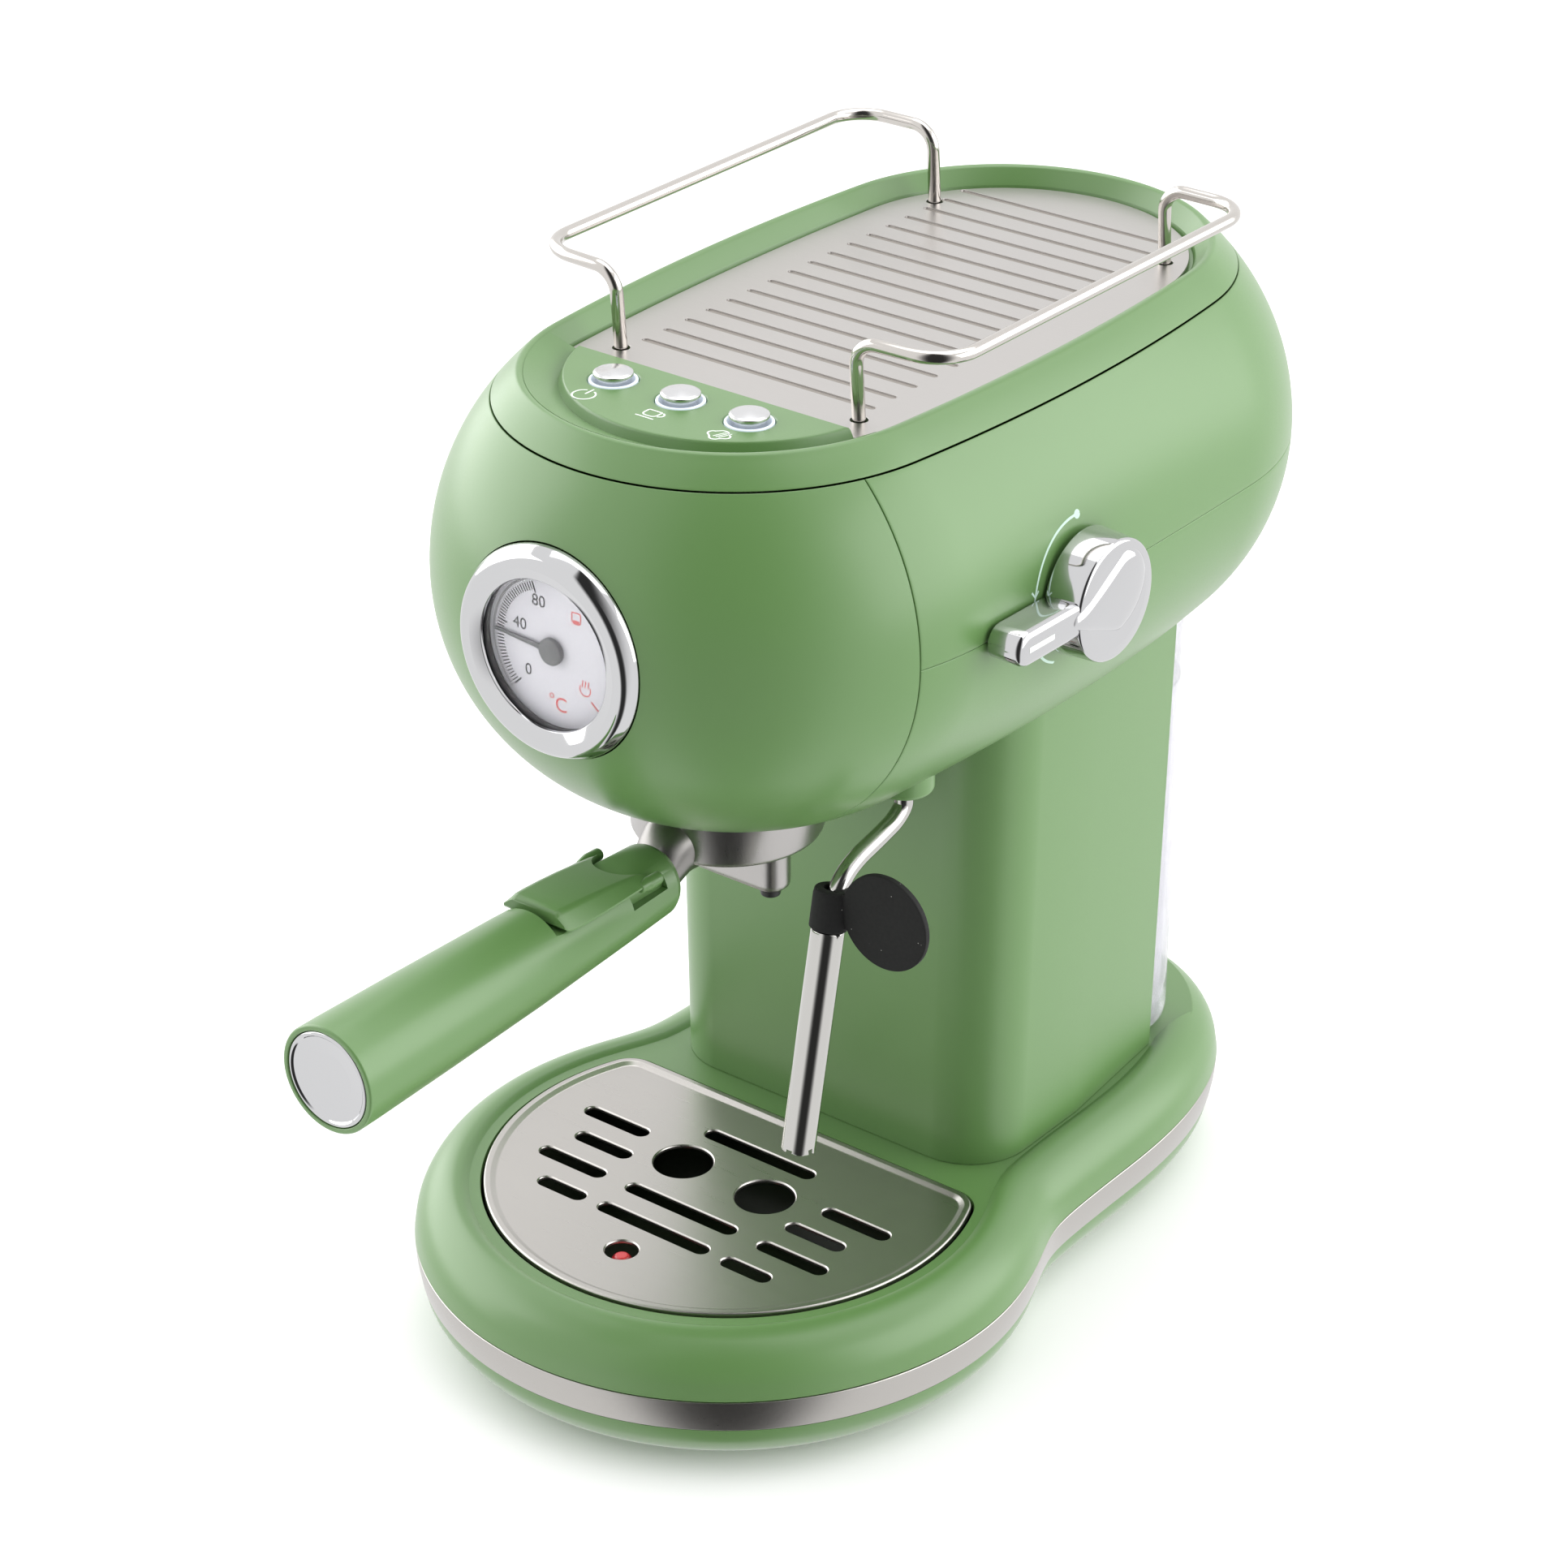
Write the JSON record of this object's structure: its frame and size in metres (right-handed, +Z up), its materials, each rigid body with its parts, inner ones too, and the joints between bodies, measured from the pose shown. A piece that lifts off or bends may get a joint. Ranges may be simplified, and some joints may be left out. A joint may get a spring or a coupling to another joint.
{
  "type": "espresso machine",
  "caption": "Retro espresso machine: rounded green head with gauge, lit buttons and cup rails, side steam lever and wand, locked filter holder, pale handle, round base with drip grille.",
  "frame": {"origin": "centre of the bounding box in plan, at the underside of the feet", "axes": "+Z up; -Y is the front, with the gauge and the filter holder's handle; +X is the side with the steam lever and wand"},
  "size_m": [0.21, 0.4162, 0.3457],
  "materials": {
    "green_plastic": "satin sage green paint on moulded shells",
    "brushed_steel": "brushed stainless steel sheet",
    "chrome": "polished chrome",
    "cast_aluminium": "machined and brushed casting",
    "black_rubber": "matt black rubber",
    "black_plastic": "black moulded plastic",
    "grey_plastic": "dark grey moulded plastic",
    "light_plastic": "translucent light ring, lit pale blue",
    "dial_white": "matt pale printed dial",
    "red_plastic": "red plastic float",
    "clear_plastic": "clear moulded plastic, slightly frosted",
    "clear_glass": "clear flat lens",
    "brass_valve": "machined brass",
    "board_green": "circuit board"
  },
  "bodies": {
    "machine": {"base_band": "brushed_steel", "base_cover": "green_plastic", "base_pan": "green_plastic", "boiler": "cast_aluminium", "column_shell": "green_plastic", "control_board": "board_green", "control_panel": "green_plastic", "cord_gland": "black_rubber", "foot_front_left": "black_rubber", "foot_front_right": "black_rubber", "foot_rear_left": "black_rubber", "foot_rear_right": "black_rubber", "gauge_bezel": "chrome", "gauge_case": "grey_plastic", "gauge_dial": "dial_white", "gauge_glass": "clear_glass", "group_gasket": "black_rubber", "group_head": "cast_aluminium", "head_front_cover": "green_plastic", "head_lower_shell": "green_plastic", "head_upper_shell": "green_plastic", "inner_frame": "brushed_steel", "light_ring_cup": "light_plastic", "light_ring_power": "light_plastic", "light_ring_steam": "light_plastic", "pump": "black_plastic", "rail_left": "chrome", "rail_right": "chrome", "shower_screen": "brushed_steel", "shower_screw": "brushed_steel", "steam_valve": "brass_valve", "top_cover": "green_plastic", "wand_boss": "green_plastic", "warming_plate": "brushed_steel"},
    "button_power": {"button_power": "brushed_steel"},
    "button_cup": {"button_cup": "brushed_steel"},
    "button_steam": {"button_steam": "brushed_steel"},
    "needle": {"gauge_needle": "grey_plastic"},
    "knob": {"steam_knob": "chrome"},
    "wand": {"steam_tube": "chrome", "wand_grip": "black_rubber"},
    "sleeve": {"frother_sleeve": "chrome"},
    "portafilter": {"portafilter_body": "cast_aluminium", "filter_basket": "brushed_steel", "spout_block": "cast_aluminium", "spout_tip_left": "black_rubber", "spout_tip_right": "black_rubber", "portafilter_handle": "green_plastic", "handle_end_cap": "chrome", "clip_pin": "brushed_steel"},
    "clip": {"filter_clip": "green_plastic"},
    "tray": {"drip_tray": "black_plastic"},
    "grille": {"drip_grille": "brushed_steel"},
    "float": {"level_float": "red_plastic"},
    "tank": {"water_tank": "clear_plastic", "tank_rim": "clear_plastic", "tank_valve": "grey_plastic"}
  },
  "joints": [
    {"name": "button_power_press", "type": "slide", "parent": "machine", "child": "button_power", "axis": [0, 0, -1], "range_m": [0, 0.002], "stiffness_N_per_m": 500},
    {"name": "button_cup_press", "type": "slide", "parent": "machine", "child": "button_cup", "axis": [0, 0, -1], "range_m": [0, 0.002], "stiffness_N_per_m": 500},
    {"name": "button_steam_press", "type": "slide", "parent": "machine", "child": "button_steam", "axis": [0, 0, -1], "range_m": [0, 0.002], "stiffness_N_per_m": 500},
    {"name": "needle_turn", "type": "hinge", "parent": "machine", "child": "needle", "pos_m": [-0.00316, -0.10149, 0.2635], "axis": [0, 1, 0], "range_deg": [-49, 180]},
    {"name": "knob_turn", "type": "hinge", "parent": "machine", "child": "knob", "pos_m": [0.09274, 0.02381, 0.2612], "axis": [1, 0, 0], "range_deg": [-90, 90]},
    {"name": "wand_swivel", "type": "hinge", "parent": "machine", "child": "wand", "pos_m": [0.05684, -0.01789, 0.1976], "axis": [0, 0, 1], "range_deg": [-25, 90]},
    {"name": "sleeve_pull", "type": "slide", "parent": "wand", "child": "sleeve", "axis": [0, -0.1998, -0.9798], "range_m": [0, 0.044]},
    {"name": "portafilter_lock", "type": "hinge", "parent": "machine", "child": "portafilter", "pos_m": [-0.00316, -0.02769, 0.19], "axis": [0, 0, 1], "range_deg": [-45, 0]},
    {"name": "clip_flip", "type": "hinge", "parent": "portafilter", "child": "clip", "pos_m": [-0.00316, -0.07769, 0.1768], "axis": [1, 0, 0], "range_deg": [-50, 0]},
    {"name": "tray_lift", "type": "slide", "parent": "machine", "child": "tray", "axis": [0, 0, 1], "range_m": [0, 0.045]},
    {"name": "grille_lift", "type": "slide", "parent": "tray", "child": "grille", "axis": [0, 0, 1], "range_m": [0, 0.045]},
    {"name": "float_rise", "type": "slide", "parent": "tray", "child": "float", "axis": [0, 0, 1], "range_m": [0, 0.012]},
    {"name": "tank_pull", "type": "slide", "parent": "machine", "child": "tank", "axis": [0, 1, 0], "range_m": [0, 0.08]}
  ]
}
